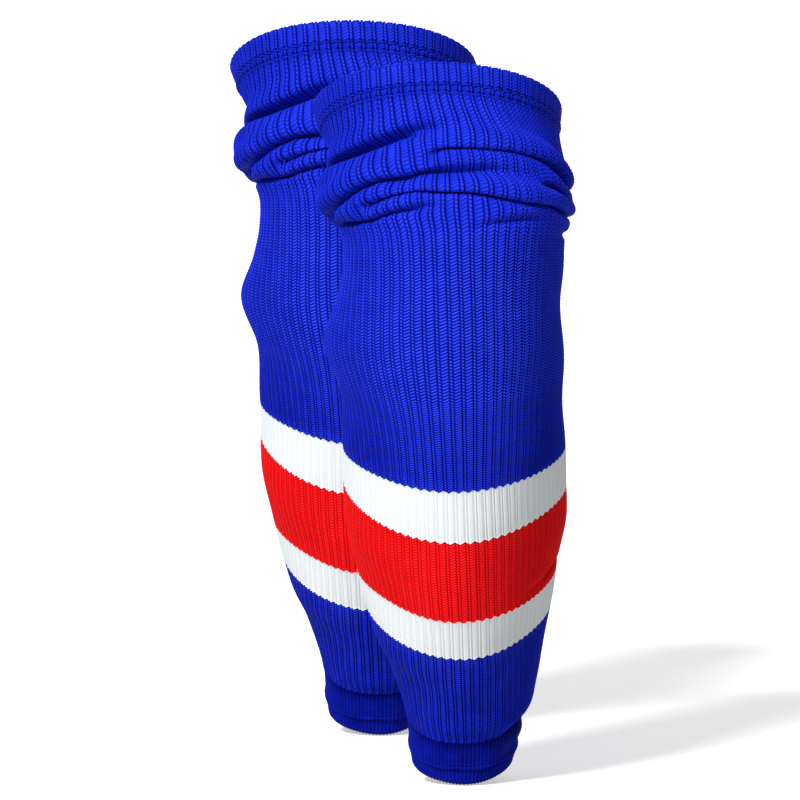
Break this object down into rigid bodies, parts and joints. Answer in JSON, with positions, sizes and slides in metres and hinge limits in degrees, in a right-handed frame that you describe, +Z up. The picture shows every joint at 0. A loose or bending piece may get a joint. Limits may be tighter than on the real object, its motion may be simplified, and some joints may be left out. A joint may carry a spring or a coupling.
{
  "type": "ice hockey socks",
  "caption": "Pair of footless rib-knit ice hockey socks with three stripes, turned hems and tight ankle cuffs, shaped as on bent legs.",
  "frame": {"origin": "middle of the bottom of the pair's box, on the surface under the cuffs", "axes": "+Z up along the legs, from cuff to thigh; -Y the way the knees face; +X from the right sock towards the left one"},
  "size_m": [0.2866, 0.5774, 0.6199],
  "materials": {
    "blue_knit": "ribbed polyester knit, soft sheen",
    "white_knit": "ribbed polyester knit, soft sheen",
    "red_knit": "ribbed polyester knit, soft sheen",
    "cuff_knit": "fine fuzzy ribbed knit, matte",
    "blue_thread": "sewing thread",
    "cuff_thread": "sewing thread, matte"
  },
  "bodies": {
    "left_shin": {"left_knee_knit": "blue_knit", "left_knee_back_seam": "blue_thread", "left_shin_knit": "blue_knit", "left_white_stripe_upper": "white_knit", "left_red_stripe": "red_knit", "left_white_stripe_lower": "white_knit", "left_calf_knit": "blue_knit", "left_shin_back_seam": "blue_thread", "left_cuff_join_seam": "cuff_thread", "left_ankle_cuff": "cuff_knit", "left_cuff_hem": "cuff_knit", "left_cuff_hem_stitch_upper": "cuff_thread", "left_cuff_hem_stitch_lower": "cuff_thread"},
    "left_thigh": {"left_thigh_hem": "blue_knit", "left_thigh_hem_stitch_upper": "blue_thread", "left_thigh_hem_stitch_lower": "blue_thread", "left_thigh_knit": "blue_knit", "left_thigh_back_seam": "blue_thread"},
    "right_shin": {"right_knee_knit": "blue_knit", "right_knee_back_seam": "blue_thread", "right_shin_knit": "blue_knit", "right_white_stripe_upper": "white_knit", "right_red_stripe": "red_knit", "right_white_stripe_lower": "white_knit", "right_calf_knit": "blue_knit", "right_shin_back_seam": "blue_thread", "right_cuff_join_seam": "cuff_thread", "right_ankle_cuff": "cuff_knit", "right_cuff_hem": "cuff_knit", "right_cuff_hem_stitch_upper": "cuff_thread", "right_cuff_hem_stitch_lower": "cuff_thread"},
    "right_thigh": {"right_thigh_hem": "blue_knit", "right_thigh_hem_stitch_upper": "blue_thread", "right_thigh_hem_stitch_lower": "blue_thread", "right_thigh_knit": "blue_knit", "right_thigh_back_seam": "blue_thread"}
  },
  "joints": [
    {"name": "left_knee", "type": "hinge", "parent": "left_shin", "child": "left_thigh", "pos_m": [0.04247, -0.18931, 0.40448], "axis": [-1, 0, 0], "range_deg": [-30, 45], "deforming": ["left_knee_knit", "left_knee_back_seam"]},
    {"name": "right_knee", "type": "hinge", "parent": "right_shin", "child": "right_thigh", "pos_m": [-0.02753, 0.14869, 0.40448], "axis": [-1, 0, 0], "range_deg": [-30, 45], "deforming": ["right_knee_knit", "right_knee_back_seam"]},
    {"name": "pair_slide", "type": "slide", "parent": "left_shin", "child": "right_shin", "axis": [-1, 0, 0], "range_m": [0, 0.2]}
  ]
}
